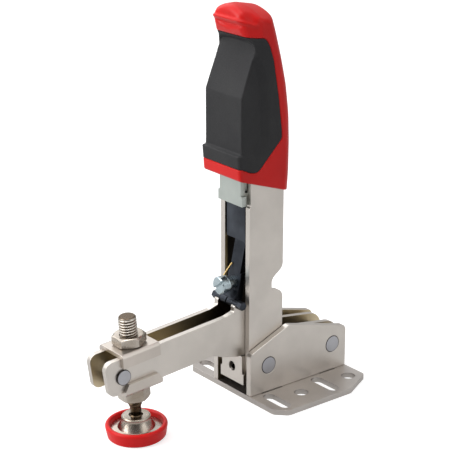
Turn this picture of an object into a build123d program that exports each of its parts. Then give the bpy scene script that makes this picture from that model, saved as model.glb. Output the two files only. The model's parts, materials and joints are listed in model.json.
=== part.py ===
from build123d import *
import math
import os

os.makedirs("parts", exist_ok=True)

# Toggle clamp with an upright handle, closed. Millimetres, +Z up.
# The origin is the middle of the base plate's underside, +X points to the tip of the
# clamping arm, and the clamp is symmetric about y = 0.

# ------------------------------------------------------------------ fits and sheet sizes
RUN_FIT = 0.05          # radial clearance of a hinge pin in its hole
SIDE_GAP = 0.2          # between plates that swing past each other
SLIDE_GAP = 0.05        # between the arm and the saddles that slide on it

ARM_INNER = 4.6         # half the gap between the two arm plates
ARM_SHEET = 2.5
HANDLE_SHEET = 2.9
WALL_SHEET = 3.0
BASE_SHEET = 2.5

ARM_OUTER = ARM_INNER + ARM_SHEET
HANDLE_INNER = ARM_OUTER + SIDE_GAP
HANDLE_OUTER = HANDLE_INNER + HANDLE_SHEET
WALL_INNER = HANDLE_OUTER + SIDE_GAP
WALL_OUTER = WALL_INNER + WALL_SHEET

# ------------------------------------------------------------------ base plate
BASE_LENGTH = 57.5
BASE_WIDTH = 69.0
FRONT_CHAMFER = 5.0
REAR_CHAMFER_X = 15.5
REAR_CHAMFER_Y = 8.0
BASE_CORNER_R = 1.5
HOLE_PITCH = 14.3       # along X, between a slot and the next round hole
BOLT_HOLE_R = 3.25
SLOT_LENGTH = 16.5
SLOT_WIDTH = 5.5
SLOT_EDGE = 2.75        # from a slot's outer end to the plate's edge
HOLE_SPREAD = BASE_WIDTH - 2 * SLOT_EDGE - SLOT_LENGTH

# ------------------------------------------------------------------ bracket walls
WALL_SET_BACK = 0.15    # from the base plate's front and rear edges
WALL_FRONT_X = BASE_LENGTH / 2 - WALL_SET_BACK
WALL_REAR_X = -WALL_FRONT_X
WALL_LOW_Z = 22.7
WALL_PEAK_X = 6.1
WALL_PEAK_Z = 31.8
WALL_CORNER_R = 3.0
TABS = ((10.1, 22.3), (-22.1, -12.4))   # where each wall plugs into the base plate
TAB_GAP = 0.5

# ------------------------------------------------------------------ pivots and rivets
HANDLE_PIVOT_X = 18.0
ARM_PIVOT_X = -20.4
PIVOT_Z = 15.3
PIVOT_R = 3.0
RIVET_HEAD_R = 4.0
RIVET_HEAD_DEPTH = 1.5
RIVET_DOME = 0.25
RIVET_DOME_SHARE = 0.6  # where a rivet head's dome starts to fall away
SPACER_R = 3.7
HUB_TUBE_R = 5.0

# ------------------------------------------------------------------ front bridge
BRIDGE_SHEET = 1.4
BRIDGE_LOW_Z = 6.3
BRIDGE_STEP_Z = 11.3
BRIDGE_TOP_Z = 20.2
BRIDGE_FOOT_HALF = 8.2
BRIDGE_HOLE_R = 2.25
BRIDGE_HOLE_Z = 13.2
BRIDGE_EYE_R = 4.9
CORNER_SLACK = 0.1      # keeps a corner radius just short of a full half circle

# ------------------------------------------------------------------ handle plates
HANDLE_BACK_X = 7.7
HANDLE_FRONT_X = 26.9
HANDLE_END_R = 8.9
HANDLE_STEP = 0.6
HANDLE_STEP_Z = 90.5
HANDLE_TOP_X = (12.0, 23.5)
HANDLE_TOP_R = 2.0
HANDLE_TAPER_Z = 108.0
GRIP_TOP_Z = 179.4
HANDLE_TOP_DROP = 29.4  # from the top of the grip down to the end of the plates in it
HANDLE_TOP_Z = GRIP_TOP_Z - HANDLE_TOP_DROP
HANDLE_OPEN_DEG = 77.7  # handle swing, until the notch meets the arm pivot's spacers
NOTCH_R = 4.2
NOTCH_ROOF_DEG = 35.0   # fall of the notch's upper flank
NOTCH_FLOOR = 3.5       # from the middle of the notch down to its floor
NOTCH_FLOOR_R = 1.0
NOTCH_LIP_R = 4.2

# ------------------------------------------------------------------ tang between the plates
TANG_FRONT_X = 29.8
TANG_REAR_X = 16.0
TANG_SHEET = 2.5
TANG_LOW_Z = 91.3
TANG_EAR_TOP_Z = 95.8
TANG_EAR = 1.0
TANG_TOP_DROP = 14.0    # from the end of the plates down to the end of the tang
TANG_TOP_Z = HANDLE_TOP_Z - TANG_TOP_DROP
TANG_WINDOW_LOW_Z = 97.0
TANG_WINDOW_TOP_Z = 103.0
GRIP_RIVET_R = 2.5
GRIP_RIVET_X = 19.5
GRIP_RIVET_Z = (112.0, 128.0)

# ------------------------------------------------------------------ clamping arm
ARM_TILT = 4.5          # degrees that the arm falls towards its tip
TIP_RIVET_X = 93.0
TIP_RIVET_Z = 28.6
TIP_RIVET_R = 2.5
TIP_RIVET_HEAD_R = 3.5
TIP_RIVET_HEAD = 0.9
ARM_ABOVE = 8.5         # from the tip rivet up to the top edge
ARM_BELOW = 7.5
ARM_NOSE_TOP = 8.7      # from the tip rivet forward to the nose
ARM_NOSE_LOW = 7.6
ARM_NOSE_R = 3.5
ARM_EYE_R = 8.4
ARM_FOOT_ALONG = -48.0  # where the underside starts to fall towards the pivot
ARM_EAR_ALONG = -56.0   # where the top edge starts to rise towards the ear
ARM_KNEE = (39.7, 23.0)
ARM_BELLY_X = (7.0, 31.0)
ARM_BELLY_Z = 20.8
ARM_HEEL_X = -13.0
ARM_SHOULDER_Z = 23.2
ARM_BACK = ((-5.9, 26.7), (12.5, 29.5))
ARM_EAR_Z = 42.8
ARM_EAR_X = 24.5
TRUNNION_X = 30.4
TRUNNION_Z = 45.7
TRUNNION_R = 1.85
TRUNNION_COLLAR = 2.6
TRUNNION_HEX = 0.1      # how far the hexagon's corners stand proud of the rod
TRUNNION_WALL = 0.75    # metal of the ear beside the rod
ARM_SWEEP_R = (4.0, 6.0, 8.0)
ARM_SHOULDER_R = 7.2
EAR_R = 0.8

# ------------------------------------------------------------------ guide block and lever
BLOCK_HALF = 6.4
BLOCK_FRONT_X = 26.5
BLOCK_REAR_X = 12.0
BLOCK_SHOULDER_X = 20.0
BLOCK_LOW_Z = 74.0
BLOCK_WALL = 1.6
BLOCK_SLOT_TOP_Z = 84.5
BLOCK_SLOT_REAR_X = 15.0
BLOCK_CHEEK_RISE = 2.0  # from the block's underside up to its side cheeks
LEVER_HALF = 3.6
LEVER_FOOT_HALF = 4.4
LEVER_SHEET = 2.4
LEVER_PIN_X = 20.8
LEVER_PIN_Z = 80.0
LEVER_PIN_R = 1.5
LEVER_EYE_R = 3.2
LEVER_SLOPE = 0.2147    # forward lean of the strip per millimetre down
LEVER_FACE_X = 24.0     # front face of the strip at LEVER_FACE_Z
LEVER_FACE_Z = 72.3
LEVER_LOW_Z = 51.0
LEVER_FOOT_TOP_Z = 58.5
LEVER_TOE_Z = 50.8
LEVER_HEEL_Z = 46.5
LEVER_HEEL = 3.4        # how far the heel stands behind the line of the front face
LEVER_TOE = 0.6
LEVER_ROUND = 1.0
FOOT_GROOVE = 0.35      # half width of the groove round the middle of the foot
SLOT_SIDE_GAP = 0.2

# ------------------------------------------------------------------ adjusting screw
SCREW_Z = 54.0
SCREW_R = 2.75
SCREW_TAIL_X = 24.6
SCREW_HEAD_R = 4.0
SCREW_HEAD_X = 33.0
SCREW_HEAD_LENGTH = 3.5
SCREW_SLOT_WIDTH = 1.2
SCREW_SLOT_DEPTH = 1.4
SCREW_SLOT_ANGLE = 38.0
SCREW_CHAMFER = 0.4
COLLAR_LENGTH = 1.3
COLLAR_STEP = 0.1
WIRE_R = 0.35
WIRE_HEIGHTS = (8.0, 5.0, 1.5)      # above the screw's axis, from root to tip
WIRE_FORWARD = (0.35, 1.6, 3.2)     # in front of the lever's face
WIRE_SIDEWAYS = (-2.4, -3.4, -3.9)

# ------------------------------------------------------------------ spindle and its saddles
SPINDLE_BACK = 9.3      # from the tip rivet back to the spindle, along the arm
SPINDLE_R = 4.0
SPINDLE_TOP = 23.2
SPINDLE_CONE_TOP = -16.5
SPINDLE_NECK_R = 2.5
SPINDLE_NECK_TOP = -20.0
SPINDLE_CHAMFER = 0.7
SADDLE_LENGTH = 19.4
SADDLE_SHEET = 1.8
SADDLE_HOLE_GAP = 0.15
UPPER_FLANGE = 4.3      # how far down the upper saddle's sides reach, above the rivet
LOWER_LIP = -3.7
LOWER_LIP_TAPER = 2.0
LIP_END_RISE = 0.8
LIP_CORNER_R = (0.6, 0.8)
TOP_NUT_FLATS = 13.0
TOP_NUT_HEIGHT = 6.5
LOWER_NUT_FLATS = 12.4
LOWER_NUT_HEIGHT = 6.2
NUT_CHAMFER = 0.8
NUT_CHAMFER_SLOPE = 0.6

# ------------------------------------------------------------------ swivel pad
PAD_TILT = 2.0
PAD_X = 81.6
PAD_LOW_Z = -4.7
CAP_R = 13.75
CAP_FOOT_R = 12.9
CAP_HEIGHT = 6.4
CAP_WALL = 2.2
CAP_FLOOR = 1.9
CAP_EDGE = 0.6
CAP_RIM_DROP = 1.0
DISC_SHEET = 2.0
CUP_FLARE_R = 8.25
CUP_FLARE_RISE = 0.5
CUP_NECK_RISE = 4.0
CUP_RIM_R = 6.4
CUP_TOP = 10.0
CUP_EDGE = 0.6
BALL_R = 3.6
BALL_HEIGHT = 7.6
CUP_MOUTH_R = 3.1

# ------------------------------------------------------------------ grip
GRIP_HALF = 13.1
GRIP_BACK_X = 5.4
GRIP_BACK_R = 5.0
GRIP_FRONT_R = 2.5
GRIP_CROWN_R = 5.0
GRIP_BACK_FOOT = (6.3, 95.2)
GRIP_FRONT_FOOT = (34.0, 104.6)
GRIP_FOOT_R = (1.5, 0.6)
GRIP_BAND_X = 35.0
GRIP_PALM_X = 33.6
# Corners (x, rise above the front of the foot, radius) of the band under the palm.
GRIP_BAND = ((GRIP_BAND_X, 11.4, 0.5), (GRIP_PALM_X, 12.2, 0.5))
# Corners (x, drop below the top, radius) up the front, over the crown and down the back.
GRIP_LIP_X = 31.0
GRIP_FRONT_EDGE = (
    (GRIP_PALM_X, 38.9, 9.0),
    (26.4, 20.9, 6.0),
    (26.9, 14.4, 2.5),
    (GRIP_LIP_X, 8.6, 1.2),
)
GRIP_CROWN = ((30.6, 1.4, 3.4), (22.0, -0.4, 12.0), (14.8, 3.6, 4.0))
GRIP_BACK_EDGE = ((12.6, 14.4, 30.0), (7.1, 37.4, 60.0))
GRIP_BACK_SWELL = ((5.2, 13.4, 20.0),)     # x, rise above the front of the foot, radius
NOSE_DROP = 16.0        # above this the front of the grip is rounded in plan
NOSE_SIDE_X = 22.6
NOSE_CHEEK = (28.6, 12.4)
NOSE_CHEEK_R = 5.0
NOSE_HALF = 10.4
NOSE_R = 2.0
CUT_PAST = 5.0          # how far a cutting body reaches past what it cuts
INSERT_SHELL = 0.9      # shell left between the plates' pocket and the insert
INSERT_SHEET = 2.0
INSERT_LOW = (25.2, 5.4, 2.0, 3.0)
INSERT_TOP_DROP = 14.0
# Corners up the insert's rear edge: (x, rise above the front of the foot, radius) for the
# lower two, and (x, drop below the top, radius) for the upper two.
INSERT_EDGE_LOW = ((11.5, 15.2, 1.5), (12.0, 23.4, 30.0))
INSERT_EDGE_HIGH = ((16.6, 24.8, 20.0), (21.0, 14.0, 4.0))
SCOOP_DEPTH = 1.3
SCOOP = (
    (31.4, 15.9, 3.0),
    (31.4, 38.4, 4.0),
    (26.0, 51.4, 2.0),
    (20.4, 40.4, 5.0),
    (19.6, 18.4, 2.0),
    (26.5, 12.6, 2.0),
)


def outline(*corners):
    """Closed flat outline from corners (x, z, corner radius)."""
    points = [(x, z) for x, z, radius in corners]
    radii = [radius for x, z, radius in corners]
    return make_face(FilletPolyline(*points, radius=radii, close=True))


def slab(sketch, low_y, high_y):
    """Sheet cut to a side-view sketch, standing from y = low_y to y = high_y."""
    return extrude(Plane.XZ.offset(-high_y) * sketch, amount=high_y - low_y)


def cross_bar(x, z, radius, low_y, high_y):
    """Round bar along Y."""
    return slab(Pos(x, z) * Circle(radius), low_y, high_y)


def block(x_range, y_range, z_range):
    """Box between two values on each axis."""
    size = [high - low for low, high in (x_range, y_range, z_range)]
    middle = [(high + low) / 2 for low, high in (x_range, y_range, z_range)]
    return Pos(*middle) * Box(*size)


def turned(*profile):
    """Body turned about Z, from (radius, height) corners."""
    return revolve(make_face(Plane.XZ * Polyline(*profile, close=True)), Axis.Z)


def left_of(right_piece):
    """The matching piece on the other side of y = 0."""
    return mirror(right_piece, about=Plane.XZ)


def save(piece, name):
    """Write one piece as its own STEP file."""
    export_step(piece, f"parts/{name}.step")


def on_arm(along, above):
    """Point (x, z) at a distance along the arm and above it, from the tip rivet."""
    tilt = math.radians(ARM_TILT)
    x = TIP_RIVET_X + along * math.cos(tilt) + above * math.sin(tilt)
    z = TIP_RIVET_Z - along * math.sin(tilt) + above * math.cos(tilt)
    return x, z


ARM_PLANE = Plane(
    origin=(TIP_RIVET_X, 0, TIP_RIVET_Z),
    x_dir=(math.cos(math.radians(ARM_TILT)), 0, -math.sin(math.radians(ARM_TILT))),
    z_dir=(math.sin(math.radians(ARM_TILT)), 0, math.cos(math.radians(ARM_TILT))),
)
SPINDLE_PLANE = Plane(
    origin=(ARM_PLANE * Pos(-SPINDLE_BACK, 0, 0)).position,
    x_dir=ARM_PLANE.x_dir,
    z_dir=ARM_PLANE.z_dir,
)


# ------------------------------------------------------------------ base and bracket
def base_plate():
    front = BASE_LENGTH / 2
    side = BASE_WIDTH / 2
    half = [
        (front, side - FRONT_CHAMFER, FRONT_CHAMFER / 2),
        (front - FRONT_CHAMFER, side, FRONT_CHAMFER / 2),
        (REAR_CHAMFER_X - front, side, BASE_CORNER_R),
        (-front, side - REAR_CHAMFER_Y, BASE_CORNER_R),
    ]
    other_half = [(x, -y, radius) for x, y, radius in reversed(half)]
    sheet = outline(*half, *other_half)
    tab_y = (WALL_INNER + WALL_OUTER + TAB_GAP) / 2
    for side_sign in (-1, 1):
        hole_y = side_sign * HOLE_SPREAD / 2
        for pair_x in (0, -2 * HOLE_PITCH):
            slot = SlotOverall(SLOT_LENGTH, SLOT_WIDTH, rotation=90)
            sheet -= Pos(pair_x + 1.5 * HOLE_PITCH, hole_y) * slot
            sheet -= Pos(pair_x + 0.5 * HOLE_PITCH, hole_y) * Circle(BOLT_HOLE_R)
        for low_x, high_x in TABS:
            slot = Rectangle(high_x - low_x, WALL_SHEET + TAB_GAP)
            sheet -= Pos((low_x + high_x) / 2, side_sign * tab_y) * slot
    return extrude(sheet, amount=BASE_SHEET)


def bracket_wall():
    sheet = outline(
        (WALL_FRONT_X, BASE_SHEET, 0),
        (WALL_FRONT_X, WALL_LOW_Z, WALL_CORNER_R),
        (WALL_PEAK_X, WALL_PEAK_Z, WALL_CORNER_R),
        (WALL_REAR_X, WALL_LOW_Z, WALL_CORNER_R),
        (WALL_REAR_X, BASE_SHEET, 0),
    )
    wall = slab(sheet, WALL_INNER, WALL_OUTER)
    for low_x, high_x in TABS:
        wall += block((low_x, high_x), (WALL_INNER, WALL_OUTER), (0, BASE_SHEET))
    for x in (HANDLE_PIVOT_X, ARM_PIVOT_X):
        wall -= cross_bar(x, PIVOT_Z, PIVOT_R, WALL_INNER, WALL_OUTER)
        wall -= cross_bar(x, PIVOT_Z, RIVET_HEAD_R, WALL_OUTER - RIVET_HEAD_DEPTH, WALL_OUTER)
    return wall


def rivet(shank_r, head_r, half_length, head_depth):
    """Rivet along Y with a low domed head at each end, half_length from the middle."""
    neck = half_length - head_depth
    half = turned(
        (0, 0),
        (shank_r, 0),
        (shank_r, neck),
        (head_r, neck),
        (head_r, half_length),
        (head_r * RIVET_DOME_SHARE, half_length + RIVET_DOME * RIVET_DOME_SHARE),
        (0, half_length + RIVET_DOME),
    )
    upright = half + mirror(half, about=Plane.XY)
    return Rot(90, 0, 0) * upright


def pivot_rivet(x):
    return Pos(x, 0, PIVOT_Z) * rivet(PIVOT_R, RIVET_HEAD_R, WALL_OUTER, RIVET_HEAD_DEPTH)


def front_bridge():
    web_x = (WALL_FRONT_X - BRIDGE_SHEET, WALL_FRONT_X)
    flange_half = HANDLE_INNER - SIDE_GAP / 2
    bridge = block(web_x, (-flange_half, flange_half), (BRIDGE_LOW_Z, BRIDGE_TOP_Z))
    bridge += block(web_x, (-BRIDGE_FOOT_HALF, BRIDGE_FOOT_HALF), (BRIDGE_LOW_Z, BRIDGE_STEP_Z))
    eye_r = BRIDGE_EYE_R - CORNER_SLACK
    flange = outline(
        (WALL_FRONT_X, PIVOT_Z - BRIDGE_EYE_R, 0),
        (WALL_FRONT_X, PIVOT_Z + BRIDGE_EYE_R, 0),
        (HANDLE_PIVOT_X - BRIDGE_EYE_R, PIVOT_Z + BRIDGE_EYE_R, eye_r),
        (HANDLE_PIVOT_X - BRIDGE_EYE_R, PIVOT_Z - BRIDGE_EYE_R, eye_r),
    )
    flange -= Pos(HANDLE_PIVOT_X, PIVOT_Z) * Circle(PIVOT_R)
    right = slab(flange, flange_half - BRIDGE_SHEET, flange_half)
    bridge += right
    bridge += left_of(right)
    hole = Plane.YZ.offset(web_x[0]) * (Pos(0, BRIDGE_HOLE_Z) * Circle(BRIDGE_HOLE_R))
    bridge -= extrude(hole, amount=BRIDGE_SHEET)
    return bridge


def pivot_spacer():
    """Bush on the arm pivot, between an arm plate and a bracket wall."""
    low, high = ARM_OUTER + SIDE_GAP / 2, WALL_INNER
    ring = Circle(SPACER_R) - Circle(PIVOT_R)
    return slab(Pos(ARM_PIVOT_X, PIVOT_Z) * ring, low, high)


# ------------------------------------------------------------------ handle
def notch_centre():
    """Where the arm pivot lies in the handle once the handle is open."""
    reach = HANDLE_PIVOT_X - ARM_PIVOT_X
    angle = math.radians(180.0 - HANDLE_OPEN_DEG)
    return HANDLE_PIVOT_X + reach * math.cos(angle), PIVOT_Z + reach * math.sin(angle)


def handle_plate():
    notch_x, notch_z = notch_centre()
    wall_x = notch_x + NOTCH_R
    fall = math.radians(NOTCH_ROOF_DEG)
    roof_z = notch_z + NOTCH_R * (1 - math.sin(fall)) / math.cos(fall)
    mouth_z = roof_z + (wall_x - HANDLE_BACK_X) * math.tan(fall)
    floor_z = notch_z - NOTCH_FLOOR
    end_z = PIVOT_Z - HANDLE_END_R
    sheet = outline(
        (HANDLE_BACK_X, end_z, HANDLE_END_R),
        (HANDLE_FRONT_X, end_z, HANDLE_END_R),
        (HANDLE_FRONT_X, HANDLE_STEP_Z, HANDLE_STEP / 3),
        (HANDLE_FRONT_X - HANDLE_STEP, HANDLE_STEP_Z + HANDLE_STEP, HANDLE_STEP / 3),
        (HANDLE_FRONT_X - HANDLE_STEP, TANG_TOP_Z - HANDLE_STEP, 0),
        (HANDLE_TOP_X[1], TANG_TOP_Z, 0),
        (HANDLE_TOP_X[1], HANDLE_TOP_Z, HANDLE_TOP_R),
        (HANDLE_TOP_X[0], HANDLE_TOP_Z, HANDLE_TOP_R),
        (HANDLE_BACK_X, HANDLE_TAPER_Z, 0),
        (HANDLE_BACK_X, mouth_z, NOTCH_LIP_R),
        (wall_x, roof_z, NOTCH_R - CORNER_SLACK),
        (wall_x, floor_z, NOTCH_FLOOR_R),
        (HANDLE_BACK_X, floor_z, NOTCH_LIP_R),
    )
    sheet -= Pos(HANDLE_PIVOT_X, PIVOT_Z) * Circle(PIVOT_R + RUN_FIT)
    for z in GRIP_RIVET_Z:
        sheet -= Pos(GRIP_RIVET_X, z) * Circle(GRIP_RIVET_R)
    return slab(sheet, HANDLE_INNER, HANDLE_OUTER)


def handle_tang():
    """Folded U that ties the two handle plates together inside the grip."""
    web_x = (TANG_FRONT_X - TANG_SHEET, TANG_FRONT_X)
    ear = HANDLE_INNER + TANG_EAR
    tang = block(web_x, (-HANDLE_INNER, HANDLE_INNER), (TANG_LOW_Z, TANG_TOP_Z))
    tang += block(web_x, (-ear, ear), (TANG_LOW_Z, TANG_EAR_TOP_Z))
    flange = block(
        (TANG_REAR_X, web_x[0]),
        (HANDLE_INNER - TANG_SHEET, HANDLE_INNER),
        (TANG_LOW_Z, TANG_TOP_Z),
    )
    window_z = (TANG_WINDOW_LOW_Z, TANG_WINDOW_TOP_Z)
    flange -= block((HANDLE_FRONT_X - TANG_SHEET, web_x[0]), (0, HANDLE_INNER), window_z)
    tang += flange
    tang += left_of(flange)
    for z in GRIP_RIVET_Z:
        tang -= cross_bar(GRIP_RIVET_X, z, GRIP_RIVET_R, -HANDLE_INNER, HANDLE_INNER)
    return tang


def grip_rivet(z):
    return cross_bar(GRIP_RIVET_X, z, GRIP_RIVET_R, -HANDLE_OUTER, HANDLE_OUTER)


def below_top(corners):
    """Corners given as (x, drop below the grip's top, corner radius), as (x, z, radius)."""
    return [(x, GRIP_TOP_Z - drop, radius) for x, drop, radius in corners]


def above_foot(corners):
    """Corners given as (x, rise above the front of the grip's foot, radius), as (x, z, radius)."""
    return [(x, GRIP_FRONT_FOOT[1] + rise, radius) for x, rise, radius in corners]


def grip_plan(front_half):
    """Plan outline of the grip, from the corners (x, y, radius) of half its front."""
    other_half = [(x, -y, radius) for x, y, radius in reversed(front_half)]
    return outline(
        (GRIP_BACK_X, -GRIP_HALF, GRIP_BACK_R),
        *other_half,
        *front_half,
        (GRIP_BACK_X, GRIP_HALF, GRIP_BACK_R),
    )


def grip_envelope():
    """Outer form of the grip, with both colours in one."""
    side = outline(
        (*GRIP_BACK_FOOT, GRIP_FOOT_R[0]),
        (*GRIP_FRONT_FOOT, GRIP_FOOT_R[1]),
        *above_foot(GRIP_BAND),
        *below_top(GRIP_FRONT_EDGE + GRIP_CROWN + GRIP_BACK_EDGE),
        *above_foot(GRIP_BACK_SWELL),
    )
    body = slab(side, -GRIP_HALF, GRIP_HALF)
    low_z = GRIP_BACK_FOOT[1] - CUT_PAST
    crown = outline(
        (-GRIP_HALF, low_z, 0),
        (-GRIP_HALF, GRIP_TOP_Z, GRIP_CROWN_R),
        (GRIP_HALF, GRIP_TOP_Z, GRIP_CROWN_R),
        (GRIP_HALF, low_z, 0),
    )
    body &= extrude(Plane.YZ * crown, amount=GRIP_BAND_X + CUT_PAST)
    nose_z = GRIP_TOP_Z - NOSE_DROP
    palm = grip_plan([(GRIP_BAND_X, GRIP_HALF, GRIP_FRONT_R)])
    nose = grip_plan([
        (GRIP_LIP_X, NOSE_HALF, NOSE_R),
        (*NOSE_CHEEK, NOSE_CHEEK_R),
        (NOSE_SIDE_X, GRIP_HALF, 0),
    ])
    lower = extrude(Plane.XY.offset(low_z) * palm, amount=nose_z - low_z)
    upper = extrude(Plane.XY.offset(nose_z) * nose, amount=GRIP_TOP_Z + CUT_PAST - nose_z)
    return body & (lower + upper)


def insert_zone():
    """Slab over the part of the grip that the soft insert covers, less the room behind it."""
    past_x = GRIP_BAND_X + CUT_PAST
    low_x, low_rise, low_drop, low_r = INSERT_LOW
    foot_z = GRIP_FRONT_FOOT[1]
    side = outline(
        (past_x, foot_z + low_rise, 0),
        (GRIP_PALM_X, foot_z + low_rise, low_r),
        (low_x, foot_z + low_drop, low_r),
        *above_foot(INSERT_EDGE_LOW),
        *below_top(INSERT_EDGE_HIGH),
        (past_x, GRIP_TOP_Z - INSERT_TOP_DROP, 0),
    )
    zone = slab(side, -GRIP_HALF - CUT_PAST, GRIP_HALF + CUT_PAST)
    half = HANDLE_OUTER + INSERT_SHELL
    waist_x = GRIP_FRONT_EDGE[1][0] - INSERT_SHEET
    palm_x = (TANG_FRONT_X + GRIP_PALM_X) / 2
    palm_z = GRIP_TOP_Z - GRIP_FRONT_EDGE[0][1]
    zone -= block((0, waist_x), (-half, half), (0, GRIP_TOP_Z))
    return zone - block((0, palm_x), (-half, half), (0, palm_z))


def grip_core():
    """Inside of the grip: the pocket for the plates and tang."""
    low_z = GRIP_BACK_FOOT[1] - CUT_PAST
    side = outline(
        (HANDLE_BACK_X, low_z, 0),
        (TANG_FRONT_X, low_z, 0),
        (TANG_FRONT_X, TANG_TOP_Z, 0),
        (HANDLE_TOP_X[1], TANG_TOP_Z, 0),
        (HANDLE_TOP_X[1], HANDLE_TOP_Z, 0),
        (HANDLE_TOP_X[0], HANDLE_TOP_Z, 0),
        (HANDLE_BACK_X, HANDLE_TAPER_Z, 0),
    )
    return slab(side, -HANDLE_OUTER, HANDLE_OUTER)


def grip_insert():
    """Soft black skin round the front and both sides of the grip."""
    scoop = slab(outline(*above_foot(SCOOP)), GRIP_HALF - SCOOP_DEPTH, GRIP_HALF + CUT_PAST)
    return (grip_envelope() & insert_zone()) - scoop - left_of(scoop)


def grip_shell():
    return grip_envelope() - grip_core() - insert_zone()


# ------------------------------------------------------------------ clamping arm
def arm_plate():
    low_z = PIVOT_Z - ARM_EYE_R
    rear_x = ARM_PIVOT_X - ARM_EYE_R
    ear = TRUNNION_R + TRUNNION_WALL
    sheet = outline(
        (*on_arm(ARM_NOSE_TOP, ARM_ABOVE), ARM_NOSE_R),
        (*on_arm(ARM_NOSE_LOW, -ARM_BELOW), ARM_NOSE_R),
        (*on_arm(ARM_FOOT_ALONG, -ARM_BELOW), ARM_SWEEP_R[0]),
        (*ARM_KNEE, ARM_SWEEP_R[1]),
        (ARM_BELLY_X[1], ARM_BELLY_Z, ARM_SWEEP_R[2]),
        (ARM_BELLY_X[0], ARM_BELLY_Z, ARM_SWEEP_R[1]),
        (ARM_HEEL_X, low_z, ARM_SWEEP_R[1]),
        (rear_x, low_z, ARM_EYE_R - CORNER_SLACK),
        (rear_x, ARM_SHOULDER_Z, ARM_SHOULDER_R),
        (*ARM_BACK[0], ARM_SWEEP_R[2]),
        (*ARM_BACK[1], ARM_SWEEP_R[0]),
        (ARM_EAR_X, ARM_EAR_Z, EAR_R),
        (TRUNNION_X - ear, ARM_EAR_Z, EAR_R),
        (TRUNNION_X - ear, TRUNNION_Z, EAR_R),
        (TRUNNION_X + ear, TRUNNION_Z, EAR_R),
        (TRUNNION_X + ear, ARM_EAR_Z, EAR_R),
        (*on_arm(ARM_EAR_ALONG, ARM_ABOVE), ARM_SWEEP_R[0]),
    )
    sheet -= Pos(ARM_PIVOT_X, PIVOT_Z) * Circle(PIVOT_R + RUN_FIT)
    sheet -= Pos(TIP_RIVET_X, TIP_RIVET_Z) * Circle(TIP_RIVET_R)
    sheet -= Pos(TRUNNION_X, TRUNNION_Z) * Circle(TRUNNION_R)
    return slab(sheet, ARM_INNER, ARM_OUTER)


def arm_hub_tube():
    ring = Circle(HUB_TUBE_R) - Circle(PIVOT_R + RUN_FIT)
    return slab(Pos(ARM_PIVOT_X, PIVOT_Z) * ring, -ARM_INNER, ARM_INNER)


def arm_tip_rivet():
    half_length = ARM_OUTER + TIP_RIVET_HEAD
    riveted = rivet(TIP_RIVET_R, TIP_RIVET_HEAD_R, half_length, TIP_RIVET_HEAD)
    return Pos(TIP_RIVET_X, 0, TIP_RIVET_Z) * riveted


def trunnion():
    """One end of the cross rod, seated in an arm plate."""
    collar_y = HANDLE_OUTER - TRUNNION_COLLAR
    bar = cross_bar(TRUNNION_X, TRUNNION_Z, TRUNNION_R, ARM_INNER, collar_y)
    hexagon = RegularPolygon(TRUNNION_R + TRUNNION_HEX, 6, major_radius=True)
    return bar + slab(Pos(TRUNNION_X, TRUNNION_Z) * hexagon, collar_y, HANDLE_OUTER)


# ------------------------------------------------------------------ block, lever and screw
def guide_block():
    body = block(
        (BLOCK_REAR_X, BLOCK_FRONT_X),
        (-BLOCK_HALF, BLOCK_HALF),
        (BLOCK_LOW_Z, TANG_LOW_Z),
    )
    body += block(
        (BLOCK_REAR_X, BLOCK_SHOULDER_X),
        (-HANDLE_INNER, HANDLE_INNER),
        (BLOCK_LOW_Z + BLOCK_CHEEK_RISE, TANG_LOW_Z),
    )
    slot_half = LEVER_HALF + SLOT_SIDE_GAP
    body -= block(
        (BLOCK_SLOT_REAR_X, BLOCK_FRONT_X - BLOCK_WALL),
        (-slot_half, slot_half),
        (BLOCK_LOW_Z, BLOCK_SLOT_TOP_Z),
    )
    body -= cross_bar(LEVER_PIN_X, LEVER_PIN_Z, LEVER_PIN_R, -BLOCK_HALF, BLOCK_HALF)
    return body


def lever_pin():
    return cross_bar(LEVER_PIN_X, LEVER_PIN_Z, LEVER_PIN_R, -BLOCK_HALF, BLOCK_HALF)


def lever_face(z):
    """x of the strip's front face at a height."""
    return LEVER_FACE_X + (LEVER_FACE_Z - z) * LEVER_SLOPE


def pressure_lever():
    strip = outline(
        (lever_face(LEVER_PIN_Z), LEVER_PIN_Z, 0),
        (lever_face(LEVER_LOW_Z), LEVER_LOW_Z, 0),
        (lever_face(LEVER_LOW_Z) - LEVER_SHEET, LEVER_LOW_Z, 0),
        (lever_face(LEVER_PIN_Z) - LEVER_SHEET, LEVER_PIN_Z, 0),
    )
    strip += Pos(LEVER_PIN_X, LEVER_PIN_Z) * Circle(LEVER_EYE_R)
    lever = slab(strip, -LEVER_HALF, LEVER_HALF)
    foot = outline(
        (lever_face(LEVER_FOOT_TOP_Z), LEVER_FOOT_TOP_Z, 0),
        (lever_face(LEVER_TOE_Z), LEVER_TOE_Z, LEVER_ROUND),
        (TRUNNION_X + LEVER_TOE, TRUNNION_Z + TRUNNION_R, LEVER_ROUND),
        (TRUNNION_X, TRUNNION_Z - TRUNNION_R, LEVER_ROUND),
        (lever_face(LEVER_HEEL_Z) - LEVER_HEEL, LEVER_HEEL_Z, LEVER_ROUND),
        (lever_face(LEVER_FOOT_TOP_Z) - LEVER_SHEET, LEVER_FOOT_TOP_Z, 0),
    )
    lever += slab(foot, -LEVER_FOOT_HALF, LEVER_FOOT_HALF)
    nose = cross_bar(TRUNNION_X, TRUNNION_Z, TRUNNION_R, FOOT_GROOVE, LEVER_FOOT_HALF)
    lever += nose
    lever += left_of(nose)
    eye_r = LEVER_PIN_R + RUN_FIT
    lever -= cross_bar(LEVER_PIN_X, LEVER_PIN_Z, eye_r, -LEVER_HALF, LEVER_HALF)
    return lever - screw_disc(SCREW_R + RUN_FIT, SCREW_TAIL_X - LEVER_SHEET, SCREW_HEAD_X)


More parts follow.
